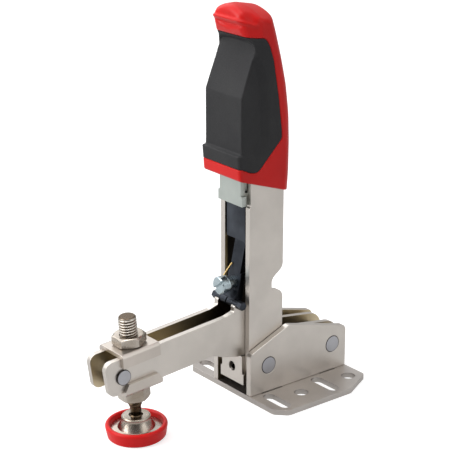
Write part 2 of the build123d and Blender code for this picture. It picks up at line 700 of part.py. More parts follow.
def screw_disc(radius, low_x, high_x):
    """Round bar along X on the screw's axis."""
    section = Plane.YZ.offset(low_x) * (Pos(0, SCREW_Z) * Circle(radius))
    return extrude(section, amount=high_x - low_x)


def adjusting_screw():
    head_end = SCREW_HEAD_X + SCREW_HEAD_LENGTH
    head = screw_disc(SCREW_HEAD_R, SCREW_HEAD_X, head_end)
    head = chamfer(head.faces().sort_by(Axis.X)[-1].edges(), SCREW_CHAMFER)
    slot = Box(2 * SCREW_SLOT_DEPTH, 3 * SCREW_HEAD_R, SCREW_SLOT_WIDTH)
    head -= Pos(head_end, 0, SCREW_Z) * Rot(SCREW_SLOT_ANGLE, 0, 0) * slot
    return head + screw_disc(SCREW_R, SCREW_TAIL_X, SCREW_HEAD_X)


def screw_collar():
    low_x = SCREW_HEAD_X - COLLAR_LENGTH
    ring = screw_disc(SCREW_HEAD_R - COLLAR_STEP, low_x, SCREW_HEAD_X)
    return ring - screw_disc(SCREW_R, low_x, SCREW_HEAD_X)


def spring_wire():
    """Bent end of the lever's return spring, on the far side of the screw."""
    heights = [SCREW_Z + rise for rise in WIRE_HEIGHTS]
    points = [
        (lever_face(z) + forward, sideways, z)
        for z, forward, sideways in zip(heights, WIRE_FORWARD, WIRE_SIDEWAYS)
    ]
    route = Spline(*points)
    section = Plane(route @ 0, z_dir=route % 0) * Circle(WIRE_R)
    return sweep(section, path=route)


def saddle_hole(height):
    """Cutter for the spindle's hole through a saddle's web."""
    return Pos(0, 0, height) * Cylinder(SPINDLE_R + SADDLE_HOLE_GAP, 2 * SADDLE_SHEET)


# ------------------------------------------------------------------ spindle and pad
def upper_saddle():
    inner = ARM_OUTER + SLIDE_GAP
    outer = inner + SADDLE_SHEET
    half = SADDLE_LENGTH / 2
    under = ARM_ABOVE + SLIDE_GAP
    body = block((-half, half), (-outer, outer), (UPPER_FLANGE, under + SADDLE_SHEET))
    ridges = body.edges().filter_by(Axis.X).sort_by(Axis.Z)[-2:]
    body = fillet(ridges, SADDLE_SHEET)
    body -= block((-half, half), (-inner, inner), (UPPER_FLANGE, under))
    return SPINDLE_PLANE * (body - saddle_hole(under + SADDLE_SHEET / 2))


def lower_saddle():
    inner = ARM_OUTER + SLIDE_GAP
    outer = inner + SADDLE_SHEET
    half = SADDLE_LENGTH / 2
    over = -ARM_BELOW - SLIDE_GAP
    end_r, lip_r = LIP_CORNER_R
    side = outline(
        (half, over - SADDLE_SHEET, 0),
        (half, over + LIP_END_RISE, end_r),
        (half - LOWER_LIP_TAPER, LOWER_LIP, lip_r),
        (LOWER_LIP_TAPER - half, LOWER_LIP, lip_r),
        (-half, over + LIP_END_RISE, end_r),
        (-half, over - SADDLE_SHEET, 0),
    )
    body = slab(side, -outer, outer)
    ridges = body.edges().filter_by(Axis.X).sort_by(Axis.Z)[:2]
    body = fillet(ridges, SADDLE_SHEET)
    body -= block((-half, half), (-inner, inner), (over, ARM_BELOW))
    return SPINDLE_PLANE * (body - saddle_hole(over - SADDLE_SHEET / 2))


def hex_nut(flats, height, low):
    """Hexagon nut standing on height low, with both faces chamfered at the corners."""
    prism = extrude(RegularPolygon(flats / 2, 6, major_radius=False, rotation=30), amount=height)
    corner_r = flats / math.sqrt(3)
    drop = NUT_CHAMFER * NUT_CHAMFER_SLOPE
    cone = turned(
        (0, 0),
        (corner_r - NUT_CHAMFER, 0),
        (corner_r, drop),
        (corner_r, height - drop),
        (corner_r - NUT_CHAMFER, height),
        (0, height),
    )
    nut = (prism & cone) - Pos(0, 0, height / 2) * Cylinder(SPINDLE_R + RUN_FIT, height)
    return SPINDLE_PLANE * (Pos(0, 0, low) * nut)


PAD_PLANE = Plane(
    origin=(PAD_X, 0, PAD_LOW_Z),
    x_dir=(math.cos(math.radians(PAD_TILT)), 0, -math.sin(math.radians(PAD_TILT))),
    z_dir=(math.sin(math.radians(PAD_TILT)), 0, math.cos(math.radians(PAD_TILT))),
)


def ball_centre():
    return (PAD_PLANE * Pos(0, 0, BALL_HEIGHT)).position


def spindle():
    centre = ball_centre()
    ball_low = SPINDLE_PLANE.to_local_coords(centre)
    rod = turned(
        (0, SPINDLE_TOP),
        (SPINDLE_R - SPINDLE_CHAMFER, SPINDLE_TOP),
        (SPINDLE_R, SPINDLE_TOP - SPINDLE_CHAMFER),
        (SPINDLE_R, SPINDLE_CONE_TOP),
        (SPINDLE_NECK_R, SPINDLE_NECK_TOP),
        (SPINDLE_NECK_R, ball_low.Z),
        (0, ball_low.Z),
    )
    return SPINDLE_PLANE * rod + Pos(*centre) * Sphere(BALL_R)


def pad_cup():
    """Steel disc with the socket that holds the spindle's ball."""
    disc_r = CAP_R - CAP_WALL
    disc_top = CAP_FLOOR + DISC_SHEET
    cup = turned(
        (0, CAP_FLOOR),
        (disc_r, CAP_FLOOR),
        (disc_r, disc_top),
        (CUP_FLARE_R, disc_top + CUP_FLARE_RISE),
        (CUP_RIM_R, disc_top + CUP_NECK_RISE),
        (CUP_RIM_R, CUP_TOP - CUP_EDGE),
        (CUP_RIM_R - CUP_EDGE, CUP_TOP),
        (0, CUP_TOP),
    )
    cup -= Pos(0, 0, BALL_HEIGHT) * Sphere(BALL_R + RUN_FIT)
    cup -= Pos(0, 0, CUP_TOP) * Cylinder(CUP_MOUTH_R, 2 * (CUP_TOP - BALL_HEIGHT))
    return PAD_PLANE * cup


def pad_cap():
    """Red rubber cap pressed over the steel disc."""
    inner = CAP_R - CAP_WALL
    cap = turned(
        (0, 0),
        (CAP_FOOT_R - CAP_EDGE, 0),
        (CAP_FOOT_R, CAP_EDGE),
        (CAP_R, CAP_HEIGHT - CAP_RIM_DROP),
        (CAP_R - CAP_EDGE, CAP_HEIGHT),
        (inner + CAP_EDGE, CAP_HEIGHT),
        (inner, CAP_HEIGHT - CAP_EDGE),
        (inner, CAP_FLOOR),
        (0, CAP_FLOOR),
    )
    return PAD_PLANE * cap


# ------------------------------------------------------------------ write every piece
RIGHT_AND_LEFT = {
    "bracket_wall": bracket_wall(),
    "pivot_spacer": pivot_spacer(),
    "handle_plate": handle_plate(),
    "arm_plate": arm_plate(),
    "arm_trunnion": trunnion(),
}
UPPER_SEAT = ARM_ABOVE + SLIDE_GAP + SADDLE_SHEET
LOWER_SEAT = -ARM_BELOW - SLIDE_GAP - SADDLE_SHEET - LOWER_NUT_HEIGHT
SINGLE = {
    "base_plate": base_plate(),
    "front_bridge": front_bridge(),
    "handle_pivot_rivet": pivot_rivet(HANDLE_PIVOT_X),
    "arm_pivot_rivet": pivot_rivet(ARM_PIVOT_X),
    "handle_tang": handle_tang(),
    "grip_rivet_lower": grip_rivet(GRIP_RIVET_Z[0]),
    "grip_rivet_upper": grip_rivet(GRIP_RIVET_Z[1]),
    "grip_insert": grip_insert(),
    "grip_shell": grip_shell(),
    "arm_hub_tube": arm_hub_tube(),
    "arm_tip_rivet": arm_tip_rivet(),
    "guide_block": guide_block(),
    "lever_pin": lever_pin(),
    "pressure_lever": pressure_lever(),
    "adjusting_screw": adjusting_screw(),
    "screw_collar": screw_collar(),
    "spring_wire": spring_wire(),
    "upper_saddle": upper_saddle(),
    "lower_saddle": lower_saddle(),
    "top_nut": hex_nut(TOP_NUT_FLATS, TOP_NUT_HEIGHT, UPPER_SEAT),
    "lower_nut": hex_nut(LOWER_NUT_FLATS, LOWER_NUT_HEIGHT, LOWER_SEAT),
    "spindle": spindle(),
    "pad_cup": pad_cup(),
    "pad_cap": pad_cap(),
}

for name, piece in RIGHT_AND_LEFT.items():
    save(piece, f"{name}_right")
    save(left_of(piece), f"{name}_left")
for name, piece in SINGLE.items():
    save(piece, name)
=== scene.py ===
# %% [markdown]
# # A toggle clamp with an upright handle
# The CAD model gives every piece its size and its place. Here it gets its
# looks: sheet steel, zinc, blued steel, moulded plastic and rubber, and the
# forms that are easier to shape as a mesh than as a solid.

# %% Load the fixed frame
import json
import math

import bmesh
import bpy
import numpy as np
from mathutils import Matrix, Vector


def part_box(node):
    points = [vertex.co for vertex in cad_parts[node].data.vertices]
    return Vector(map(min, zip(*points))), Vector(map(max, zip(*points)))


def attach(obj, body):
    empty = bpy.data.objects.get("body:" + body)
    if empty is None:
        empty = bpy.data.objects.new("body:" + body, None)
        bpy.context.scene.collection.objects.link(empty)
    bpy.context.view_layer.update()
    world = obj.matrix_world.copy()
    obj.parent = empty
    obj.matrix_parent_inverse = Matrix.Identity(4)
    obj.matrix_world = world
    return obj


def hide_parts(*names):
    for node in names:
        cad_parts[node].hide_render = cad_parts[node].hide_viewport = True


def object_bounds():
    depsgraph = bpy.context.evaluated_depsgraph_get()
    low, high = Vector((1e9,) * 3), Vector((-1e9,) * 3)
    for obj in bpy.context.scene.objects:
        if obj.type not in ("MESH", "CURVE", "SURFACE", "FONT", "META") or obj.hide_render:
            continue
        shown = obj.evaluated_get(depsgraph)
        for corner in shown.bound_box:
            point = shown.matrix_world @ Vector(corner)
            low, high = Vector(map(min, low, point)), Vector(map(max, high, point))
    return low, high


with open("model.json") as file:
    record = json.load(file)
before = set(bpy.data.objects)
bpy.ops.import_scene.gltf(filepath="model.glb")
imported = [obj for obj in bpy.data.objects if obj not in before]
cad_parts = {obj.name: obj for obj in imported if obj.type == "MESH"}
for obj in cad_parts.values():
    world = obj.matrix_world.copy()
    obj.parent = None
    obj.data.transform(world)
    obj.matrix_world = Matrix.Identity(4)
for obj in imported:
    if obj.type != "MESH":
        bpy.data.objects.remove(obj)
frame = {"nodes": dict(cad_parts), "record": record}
CAD_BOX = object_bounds()
NODES = frame["nodes"]
MM = 0.001

# %% [markdown]
# ## Camera
# A long lens from above the front corner keeps the upright handle upright.
# The camera is aimed by a direction and a distance, so that it can be moved
# nearer without changing the angle.

# %% Camera
VIEW_TARGET = Vector((-5.58, -48.31, 60.0)) * MM
VIEW_DIRECTION = Vector((0.58472, 0.74039, 0.33155))
VIEW_DISTANCE = 749.9 * MM
VIEW_LENS = 125.3

camera_data = bpy.data.cameras.new("view_camera")
camera_data.lens = VIEW_LENS
camera = bpy.data.objects.new("view_camera", camera_data)
camera.location = VIEW_TARGET + VIEW_DIRECTION * VIEW_DISTANCE
camera.rotation_euler = VIEW_DIRECTION.to_track_quat("Z", "Y").to_euler()
bpy.context.scene.collection.objects.link(camera)
bpy.context.scene.camera = camera
bpy.context.scene.view_settings.view_transform = "Standard"
print("camera at", [round(c / MM) for c in camera.location], "mm")

# %% [markdown]
# ## Writing shader maths as Python
# A material is a graph of nodes. Placing every Math node by hand hides the
# idea, so one small class wraps an output socket, and an expression such as
# `0.4 + 0.1 * grain` adds the Math nodes itself. Any other node comes from
# one method, which takes its type, its settings and its inputs.


# %% Shader values
class Value:
    """An output socket that can stand in an expression."""

    def __init__(self, finish, socket):
        self.finish = finish
        self.socket = socket

    def _maths(self, operation, first, second):
        return self.finish.node("Math", {"operation": operation}, {0: first, 1: second})

    def __add__(self, other):
        return self._maths("ADD", self, other)

    def __sub__(self, other):
        return self._maths("SUBTRACT", self, other)

    def __rsub__(self, other):
        return self._maths("SUBTRACT", other, self)

    def __mul__(self, other):
        return self._maths("MULTIPLY", self, other)

    __radd__ = __add__
    __rmul__ = __mul__


print("shader values take +, - and *, also with a plain number first")

# %% [markdown]
# A finish holds one material and the few patterns that all of them share:
# noise, a ramp, a blend of two colours, and relief. Positions are read in
# the object's own space, so a pattern stays on its piece when a joint moves.


# %% Finish
class Finish:
    """One procedural material on a Principled shader."""

    def __init__(self, name, **constants):
        self.material = bpy.data.materials.new(name)
        self.material.use_nodes = True
        self.tree = self.material.node_tree
        self.shader = self.tree.nodes["Principled BSDF"]
        for socket, value in constants.items():
            self.shader.inputs[socket.replace("_", " ")].default_value = value
        self.place = self.node("TexCoord", output="Object")

    def node(self, kind, settings=None, inputs=None, output=0):
        """Adds a node: its settings come first, then the values or links of its sockets."""
        made = self.tree.nodes.new("ShaderNode" + kind)
        for name, value in (settings or {}).items():
            if name == "stops":
                self._set_stops(made.color_ramp, value)
            else:
                setattr(made, name, value)
        for key, value in (inputs or {}).items():
            self.connect(made.inputs[key], value)
        return Value(self, made.outputs[output])

    def _set_stops(self, ramp, stops):
        while len(ramp.elements) < len(stops):
            ramp.elements.new(0.5)
        for element, (position, shade) in zip(ramp.elements, stops):
            element.position = position
            element.color = shade if isinstance(shade, tuple) else (shade, shade, shade, 1)

    def connect(self, socket, value):
        if isinstance(value, Value):
            self.tree.links.new(value.socket, socket)
        else:
            socket.default_value = value

    def noise(self, scale, detail=2.0, stretch=(1, 1, 1), roughness=0.5):
        """Soft noise from 0 to 1, with scale in spots per metre."""
        place = self.node("Mapping", {}, {"Vector": self.place, "Scale": stretch})
        return self.node(
            "TexNoise",
            {},
            {"Vector": place, "Scale": scale, "Detail": detail, "Roughness": roughness},
            "Fac",
        )

    def ramp(self, value, *stops):
        return self.node("ValToRGB", {"stops": stops}, {"Fac": value}, "Color")

    def blend(self, factor, first, second):
        """Colour between two colours."""
        return self.node(
            "Mix", {"data_type": "RGBA"}, {0: factor, 6: first, 7: second}, 2
        )

    def axes(self):
        """The place on the piece as three values, in metres."""
        split = self.node("SeparateXYZ", {}, {0: self.place})
        return [Value(self, split.socket.node.outputs[axis]) for axis in "XYZ"]

    def maths(self, operation, first, second=None):
        """One Math node that has no operator of its own."""
        inputs = {0: first} if second is None else {0: first, 1: second}
        return self.node("Math", {"operation": operation}, inputs)

    def between(self, value, low, high, kind="LINEAR"):
        """0 where the value is low, 1 where it is high."""
        return self.node("MapRange", {"interpolation_type": kind}, {0: value, 1: low, 2: high})

    def length(self, first, second):
        return self.maths("SQRT", first * first + second * second)

    def grey(self, value):
        """A colour with the same value in red, green and blue."""
        return self.node("CombineColor", {}, {0: value, 1: value, 2: value})

    def set(self, socket, value):
        self.connect(self.shader.inputs[socket], value)
        return self

    def bump(self, height, depth, strength=1.0):
        """Relief from a height of 0 to 1, with depth in metres."""
        normal = self.node(
            "Bump", {}, {"Height": height, "Distance": depth, "Strength": strength}, "Normal"
        )
        return self.set("Normal", normal)


def rgb(red, green, blue):
    """A screen colour, 0 to 255, as the linear colour that a shader takes."""
    linear = []
    for share in (red / 255, green / 255, blue / 255):
        curved = ((share + 0.055) / 1.055) ** 2.4
        linear.append(share / 12.92 if share <= 0.04045 else curved)
    return (*linear, 1)


print("shader helpers ready, mid grey is", round(rgb(128, 128, 128)[0], 3))

# %% [markdown]
# ## Satin nickel on sheet steel
# The plates are punched from sheet, tumbled and nickel plated. The finish is
# nearly a mirror under a fine haze, so the roughness carries most of the
# look: a fine grain, and broad cloudy patches that make a highlight uneven.
# Zinc, blued steel and the spring are the same recipe with other values.

# %% Metal recipe
CLOUD_SCALE = 70.0
CLOUD_IN_GLOSS, GRAIN_IN_GLOSS = 0.06, 0.10
METAL_RELIEF = 0.35
NICKEL_DEEPER = 0.955


def metal(name, shade, dark, rough, grain, depth):
    """Metal with a fine grain in its gloss and relief, and broad clouds in its colour."""
    finish = Finish(name, Metallic=1.0)
    fine = finish.noise(grain, 3.0)
    broad = finish.noise(CLOUD_SCALE, 3.0)
    clouds = finish.ramp(broad, (0.35, 0.0), (0.65, 1.0))
    finish.colour = finish.blend(clouds, dark, shade)
    finish.set("Base Color", finish.colour)
    finish.set("Roughness", rough + CLOUD_IN_GLOSS * broad + GRAIN_IN_GLOSS * fine)
    return finish.bump(fine, depth, METAL_RELIEF)


def nickel(name, shade):
    deep = [NICKEL_DEEPER * c for c in shade]
    return metal(name, rgb(*shade), rgb(*deep), 0.28, 1500.0, 0.00006)


SHEET = (206, 200, 193)
sheet_nickel = nickel("sheet_nickel", SHEET)
base_nickel = nickel("base_nickel", (188, 182, 177))
tang_nickel = nickel("tang_nickel", (182, 188, 183))
saddle_nickel = nickel("saddle_nickel", (198, 190, 182))
print("nickel finishes:", [m.name for m in bpy.data.materials if "nickel" in m.name])

# %% [markdown]
# Little light gets between two plates, and what does has bounced off warm
# metal. That shade and warm bounce light are painted into the colour of the
# faces there, from nearly black close to the mechanism to a dull gold further
# out. The place across the clamp tells them from the rest.


# %% Painted shade between plates
def painted_shade_between(finish, half, centre, deep, near, deep_at, near_at):
    """Paints shade on faces less than half from the middle plane, darkest round centre.

    Lengths are in millimetres: the tint is deep up to deep_at from the
    centre, and near from near_at on.
    """
    x, y, _ = finish.axes()
    gap, away = finish.maths("ABSOLUTE", y), finish.maths("ABSOLUTE", x - centre * MM)
    inside = finish.maths("LESS_THAN", gap, half * MM)
    tint = finish.blend(finish.between(away, deep_at * MM, near_at * MM), deep, near)
    return finish.set("Base Color", finish.blend(inside, finish.colour, tint))


# The plates get painted shade and painted warm bounce light on the faces between them.
arm_nickel = painted_shade_between(
    nickel("arm_nickel", SHEET), 4.62, 18, rgb(60, 46, 32), rgb(206, 192, 162), 12, 46
)
handle_nickel = painted_shade_between(
    nickel("handle_nickel", SHEET), 7.32, 18, rgb(22, 19, 15), rgb(170, 150, 110), 7, 8.6
)
wall_nickel = painted_shade_between(
    nickel("wall_nickel", SHEET), 10.45, 12, rgb(60, 50, 36), rgb(200, 184, 150), 8, 26
)
plates_with_painted_shade = [finish.material.name for finish in (arm_nickel, handle_nickel, wall_nickel)]
print("plates with dark inner faces:", plates_with_painted_shade)

# %% [markdown]
# A riveted head is pressed flush into its plate, and the narrow gap round it
# lies in shade, which is painted as a fine dark line. One finish serves all
# the rivets, because each head has its own axis across the clamp.

# %% Rivets and other metals
RING_OUTER, RING_INNER = 0.15, 0.4
RIVET_AXES = [(18.0, 15.3, 4.0), (-20.4, 15.3, 4.0), (93.0, 28.6, 3.5)]


def painted_gap_shade(finish, rings, shade):
    """Painted shade as a fine line round each riveted head, given as (x, z, radius) in
    millimetres.
    """
    line = 0.0
    for centre_x, centre_z, radius in rings:
        x, _, z = finish.axes()
        away = finish.length(x - centre_x * MM, z - centre_z * MM)
        outer = finish.between(away, (radius - RING_INNER) * MM, (radius - RING_OUTER) * MM)
        line = line + outer * finish.maths("LESS_THAN", away, 2 * radius * MM)
    return finish.set("Base Color", finish.blend(line, finish.colour, shade))


# Rivet heads with painted shade in the gap round them.
rivet_zinc = painted_gap_shade(
    metal("rivet_zinc", rgb(182, 182, 186), rgb(166, 166, 171), 0.36, 2400.0, 0.00004),
    RIVET_AXES,
    rgb(62, 58, 56),
)
cool_zinc = metal("cool_zinc", rgb(184, 198, 203), rgb(142, 154, 160), 0.2, 1800.0, 0.00003)
bright_zinc = metal("bright_zinc", rgb(196, 189, 180), rgb(150, 139, 126), 0.18, 1800.0, 0.00003)
blued_steel = metal("blued_steel", rgb(74, 78, 85), rgb(47, 50, 56), 0.32, 1600.0, 0.00008)
spring_steel = metal("spring_steel", rgb(206, 178, 122), rgb(176, 146, 92), 0.2, 1500.0, 0.00002)
print("metals:", len([m for m in bpy.data.materials if m.use_nodes]))

# %% [markdown]
# ## Moulded plastic and rubber
# The grip is a hard glossy shell with a softer skin moulded over its front.
# Both come from an eroded mould, which leaves a fine pitted grain.

# %% Moulded finishes
MOULDED_GLOSS = 0.3
MOULDED_CLOUD_SCALE = 60.0
PITS_IN_GLOSS, MOULDED_RELIEF = 0.12, 0.5


def moulded(name, shade, deep, rough, grain, depth):
    """Plastic or rubber with pitted relief and faint clouds in its colour."""
    finish = Finish(name, Specular_IOR_Level=MOULDED_GLOSS)
    pits = finish.noise(grain, 2.0)
    broad = finish.noise(MOULDED_CLOUD_SCALE, 2.0)
    clouds = finish.ramp(broad, (0.3, 0.0), (0.7, 1.0))
    finish.set("Base Color", finish.blend(clouds, deep, shade))
    finish.set("Roughness", rough + PITS_IN_GLOSS * pits)
    return finish.bump(pits, depth, MOULDED_RELIEF)


red_plastic = moulded("red_plastic", rgb(224, 22, 18), rgb(212, 16, 14), 0.34, 1500.0, 0.00005)
soft_skin = moulded("soft_skin", rgb(47, 47, 48), rgb(39, 39, 41), 0.6, 1300.0, 0.00012)
red_rubber = moulded("red_rubber", rgb(232, 22, 22), rgb(218, 16, 18), 0.36, 1700.0, 0.00004)

SLOT_FINISH = {
    "nickel_sheet": sheet_nickel,
    "zinc_rivet": rivet_zinc,
    "zinc_bright": bright_zinc,
    "black_steel": blued_steel,
    "red_plastic": red_plastic,
    "soft_black": soft_skin,
    "red_rubber": red_rubber,
    "spring_steel": spring_steel,
}
print("slots with a finish:", len(SLOT_FINISH))

# %% [markdown]
# ## Dressing the CAD pieces
# Each CAD node names a material slot, so the finishes are handed out by slot,
# apart from a few nodes that have a shade of their own within their slot.
# Sheet metal never has a knife edge: a Weld joins the split corners of the
# imported mesh, a planar Decimate clears the flat faces, and a small Bevel
# gives each edge the thin line of light that a tumbled edge has.

# %% Soft edges
JOIN_WITHIN = 0.002 * MM
FLAT_WITHIN = math.radians(2)
SHARP_FROM = math.radians(38)
EDGE_WIDTH = {
    "nickel_sheet": 0.28 * MM,
    "zinc_rivet": 0.16 * MM,
    "zinc_bright": 0.14 * MM,
    "black_steel": 0.22 * MM,
    "red_rubber": 0.35 * MM,
}


def soften(node, width):
    """Rounds the sharp edges of a CAD node by modifiers, which leave its own mesh alone."""
    node.modifiers.new("join", "WELD").merge_threshold = JOIN_WITHIN
    flat = node.modifiers.new("clear_flats", "DECIMATE")
    flat.decimate_type = "DISSOLVE"
    flat.angle_limit = FLAT_WITHIN
    edge = node.modifiers.new("soft_edge", "BEVEL")
    edge.width = width
    edge.segments = 2
    edge.limit_method = "ANGLE"
    edge.angle_limit = SHARP_FROM
    edge.use_clamp_overlap = True
    node.modifiers.new("even_shading", "WEIGHTED_NORMAL").keep_sharp = False


print("slots with soft edges:", len(EDGE_WIDTH))

# %% [markdown]
# The nodes with a shade of their own are named by how their names start, so
# that one entry serves both plates of a pair.

# %% Finish on each CAD node
NODE_FINISH = {
    "arm_plate": arm_nickel,
    "handle_plate": handle_nickel,
    "handle_tang": tang_nickel,
    "bracket_wall": wall_nickel,
    "base_plate": base_nickel,
    "upper_saddle": saddle_nickel,
    "lower_saddle": saddle_nickel,
    "adjusting_screw": cool_zinc,
    "screw_collar": cool_zinc,
}
for part in frame["record"]["subparts"]:
    node = NODES[part["node"]]
    slot_name = part["material_slot"]
    own = [finish for name, finish in NODE_FINISH.items() if part["node"].startswith(name)]
    finish = (own + [SLOT_FINISH[slot_name]])[0]
    node.data.materials.clear()
    node.data.materials.append(finish.material)
    if slot_name in EDGE_WIDTH:
        soften(node, EDGE_WIDTH[slot_name])
print("dressed", len(NODES), "CAD nodes")

# %% [markdown]
# ## The grip: two mouldings from one form
# A hard red shell carries a soft black skin over its front and sides. The
# form is a soft one, with crowned and leaning faces that run into each other,
# so both pieces come from one distance field: a function that is negative
# inside the grip. Fields are joined with rounded edges by a formula, which is
# how the real mould was rounded too, and a surface net turns each into a mesh.


# %% Fields with rounded edges
def both(first, second, edge=1e-6):
    """The space inside both fields, with its edge rounded."""
    u = np.maximum(first + edge, 0.0)
    v = np.maximum(second + edge, 0.0)
    return np.minimum(-edge, np.maximum(first, second)) + np.hypot(u, v)


def ramp_up(value, low, high):
    """0 below low, 1 above high, and a smooth step between."""
    share = np.clip((value - low) / (high - low), 0.0, 1.0)
    return share * share * (3 - 2 * share)


class Profile:
    """A line x = f(z) through points, sanded smooth over a given reach."""

    def __init__(self, points, reach):
        heights, depths = zip(*points)
        self.z = np.arange(heights[0] - 6, heights[-1] + 6, 0.05)
        rough = np.interp(self.z, heights, depths)
        window = np.hanning(max(3, round(reach / 0.05)))
        padded = np.pad(rough, len(window) // 2, mode="edge")
        self.x = np.convolve(padded, window / window.sum(), "same")
        self.x = self.x[len(window) // 2 : len(window) // 2 + len(self.z)]
        self.slope = np.gradient(self.x, self.z)

    def ahead(self, x, z):
        """Distance in front of the line, negative behind it."""
        slope = np.interp(z, self.z, self.slope)
        return (x - np.interp(z, self.z, self.x)) / np.sqrt(1 + slope * slope)


def within(x, z, corners):
    """Distance to a closed outline in x and z, negative inside."""
    nearest = np.full(x.shape, 1e9)
    inside = np.zeros(x.shape, bool)
    for (ax, az), (bx, bz) in zip(corners, corners[1:] + corners[:1]):
        ex, ez = bx - ax, bz - az
        share = np.clip(((x - ax) * ex + (z - az) * ez) / (ex * ex + ez * ez), 0, 1)
        nearest = np.minimum(nearest, np.hypot(x - ax - share * ex, z - az - share * ez))
        crosses = (az > z) != (bz > z)
        inside ^= crosses & (x < ax + (z - az) / (ez if ez else 1e-9) * ex)
    return np.where(inside, -nearest, nearest)


print("a rounded corner of two walls:", both(np.array([-0.5]), np.array([-0.5]), 1.0).round(2))

# %% [markdown]
# A surface net puts one point in every cell that the surface passes through,
# and a face round every grid edge that crosses it. The points are then drawn
# onto the surface along the slope of the field, which makes them exact.

# %% Surface net
def surface_net(field, low, high, step):
    """Points and faces, in the field's own units, of the surface where the field is zero."""
    axes = [np.arange(a, b + step, step) for a, b in zip(low, high)]
    grid = np.stack(np.meshgrid(*axes, indexing="ij"), -1)
    value = field(grid[..., 0], grid[..., 1], grid[..., 2])
    cells = tuple(n - 1 for n in value.shape)
    total, count = np.zeros((*cells, 3)), np.zeros(cells)
    quads = []
    cell_number = np.arange(np.prod(cells)).reshape(cells)
    for axis in range(3):
        side, up = (axis + 1) % 3, (axis + 2) % 3
        order = (axis, side, up)
        v = value.transpose(order)
        place = grid.transpose((*order, 3))
        inside = v < 0
        edges = np.argwhere(inside[:-1] != inside[1:])
        i, j, k = edges.T
        first, second = v[i, j, k], v[i + 1, j, k]
        share = (first / (first - second))[:, None]
        point = place[i, j, k] * (1 - share) + place[i + 1, j, k] * share
        ring = []
        for dj, dk in ((-1, -1), (0, -1), (0, 0), (-1, 0)):
            cj, ck = j + dj, k + dk
            index = np.empty((len(i), 3), int)
            index[:, axis], index[:, side], index[:, up] = i, cj, ck
            index = tuple(index.T)
            np.add.at(total, index, point)
            np.add.at(count, index, 1)
            ring.append(cell_number[index])
        ring = np.stack(ring, 1)
        quads.append(np.where((first < 0)[:, None], ring, ring[:, ::-1]))
    quads = np.concatenate(quads)
    used, quads = np.unique(quads, return_inverse=True)
    quads = quads.reshape(-1, 4)
    points = total.reshape(-1, 3)[used] / count.reshape(-1)[used, None]
    return points, quads


def drawn_on(field, points, rounds=4, small=0.02):
    """Moves points along the field's slope until they lie where it is zero."""
    for _ in range(rounds):
        value = field(*points.T)
        slope = np.stack(
            [
                (field(*(points + shift).T) - field(*(points - shift).T)) / (2 * small)
                for shift in np.eye(3) * small
            ],
            1,
        )
        size = np.maximum((slope * slope).sum(1), 0.2)
        move = (value / size)[:, None] * slope
        points = points - np.clip(move, -0.3, 0.3)
    return points


NET_STEP = 0.5


def link(name, mesh, finish):
    """A new object with one material."""
    made = bpy.data.objects.new(name, mesh)
    bpy.context.scene.collection.objects.link(made)
    mesh.materials.append(finish.material)
    return made


def moulding(name, field, finish, body, node):
    """A mesh piece from a field in millimetres, in place of a CAD node."""
    low, high = (np.array(corner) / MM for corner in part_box(node))
    points, quads = surface_net(field, low - 2, high + 2, NET_STEP)
    points = drawn_on(field, points)
    mesh = bpy.data.meshes.new(name)
    mesh.from_pydata((points * MM).tolist(), [], quads.tolist())
    mesh.shade_smooth()
    made = link(name, mesh, finish)
    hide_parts(node)
    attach(made, body)
    print(name, "has", len(points), "points")
    return made


# %% [markdown]
# The outer form, in millimetres, is side, front, back, crown and foot cut
# against each other. The front has a low band, a flat palm, a leaning thumb
# face and a nose that overhangs it, and the nose narrows towards its front.

# %% Lines of the grip
GRIP_HALF = 13.1
FOOT_FRONT = (34.0, 104.6)
FOOT_FALL = 0.339
BAND_TOP = 116.0
BAND_X, THUMB_X = 35.5, 33.6
THUMB_LOW, THUMB_END = 141.0, 190.0
THUMB_LEAN = 0.385
PALM = Profile(
    [
        (80, 34.2), (104, 34.5), (BAND_TOP, BAND_X), (BAND_TOP + 0.4, THUMB_X),
        (THUMB_LOW, THUMB_X), (THUMB_END, THUMB_X - THUMB_LEAN * (THUMB_END - THUMB_LOW)),
    ],
    0.9,
)
NOSE = Profile(
    [
        (161, 10), (162.2, 22.5), (163.1, 25.2), (164.2, 27.0), (166.4, 29.8),
        (169, 31.0), (171, 31.6), (174, 31.9), (186, 31.9),
    ],
    1.6,
)
BACK = Profile(
    [
        (85, 7.0), (95, 5.9), (104, 5.2), (118, 5.0), (130.6, 5.5),
        (143.5, 7.2), (155.3, 9.9), (167.6, 13.3), (179, 17.0),
    ],
    9.0,
)
print("grip profiles sampled at", len(PALM.z), len(NOSE.z), len(BACK.z), "heights")

# %% [markdown]
# The crown overhangs the thumb face. A rib runs across its front, and a
# shallow hollow under the rib fades out towards both sides.


# %% Rib and hollow on the crown
LIP_Z, LIP_TILT, LIP_X, LIP_MIDDLE = 173.1, 0.35, 31.8, 0.8
RIB_HIGH, RIB_HALF, RIB_ENDS = 0.9, 0.8, (12.2, 12.8)
HOLLOW_TALL, HOLLOW_HALF, HOLLOW_LEAST = 4.2, 12.0, 0.05
HOLLOW_TOP, HOLLOW_FOOT, HOLLOW_ENDS = (0.8, 1.8), (0.35, 1.1), (10.0, 12.0)
FRONT_FROM = (23.4, 25.0)


